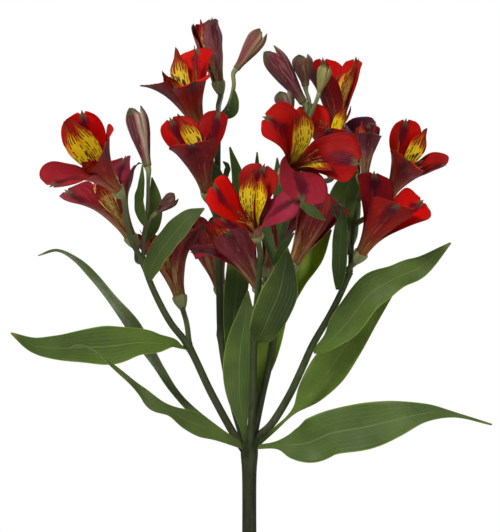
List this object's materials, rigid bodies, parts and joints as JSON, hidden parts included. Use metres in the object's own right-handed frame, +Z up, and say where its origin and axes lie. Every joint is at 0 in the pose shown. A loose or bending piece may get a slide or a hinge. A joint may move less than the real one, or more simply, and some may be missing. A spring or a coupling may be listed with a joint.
{
  "type": "potted peruvian lily",
  "caption": "Flowering plant in a plain clay pot: an upright stem with a whorl of leaves and an umbel of red and yellow funnel-shaped blooms and buds.",
  "frame": {"origin": "centre of the pot's flat base, on the surface it stands on", "axes": "+Z up along the stem, +Y away from the viewer, +X to the viewer's right"},
  "size_m": [0.2489, 0.1441, 0.4158],
  "materials": {
    "clay": "matt unglazed clay",
    "soil": "rough and matt",
    "stem": "soft satin",
    "leaf": "satin with fine parallel veins",
    "outer_tepal": "soft satin",
    "inner_tepal": "soft satin",
    "bud": "soft satin",
    "green_bud": "soft satin"
  },
  "bodies": {
    "root": {"pot": "clay", "soil": "soil", "stem": "stem", "leaf_right_low": "leaf", "leaf_right_high": "leaf", "leaf_right_mid": "leaf", "leaf_left_high": "leaf", "leaf_left_back": "leaf", "leaf_left_low": "leaf", "leaf_front_mid": "leaf", "leaf_back_mid": "leaf", "leaf_front_cup": "leaf", "leaf_back_right": "leaf", "leaf_left_top": "leaf", "leaf_right_top": "leaf", "leaf_right_bract": "leaf", "bloom_01_outer": "outer_tepal", "bloom_01_inner": "inner_tepal", "bloom_02_outer": "outer_tepal", "bloom_02_inner": "inner_tepal", "bloom_03_outer": "outer_tepal", "bloom_03_inner": "inner_tepal", "bloom_04_outer": "outer_tepal", "bloom_04_inner": "inner_tepal", "bloom_05_outer": "outer_tepal", "bloom_05_inner": "inner_tepal", "bloom_06_outer": "outer_tepal", "bloom_06_inner": "inner_tepal", "bloom_07_outer": "outer_tepal", "bloom_07_inner": "inner_tepal", "bloom_08_outer": "outer_tepal", "bloom_08_inner": "inner_tepal", "bloom_09_outer": "outer_tepal", "bloom_09_inner": "inner_tepal", "bloom_10_outer": "outer_tepal", "bloom_10_inner": "inner_tepal", "bloom_11_outer": "outer_tepal", "bloom_11_inner": "inner_tepal", "bloom_12_outer": "outer_tepal", "bloom_12_inner": "inner_tepal", "bloom_13_outer": "outer_tepal", "bloom_13_inner": "inner_tepal", "bloom_14_outer": "outer_tepal", "bloom_14_inner": "inner_tepal", "bloom_15_outer": "outer_tepal", "bloom_15_inner": "inner_tepal", "bloom_16_outer": "outer_tepal", "bloom_16_inner": "inner_tepal", "bloom_17_outer": "outer_tepal", "bloom_17_inner": "inner_tepal", "bud_1": "bud", "bud_2": "bud", "bud_3": "bud", "bud_4": "bud", "bud_5": "bud", "bud_6": "green_bud", "bud_7": "bud", "bud_8": "bud"}
  },
  "joints": []
}
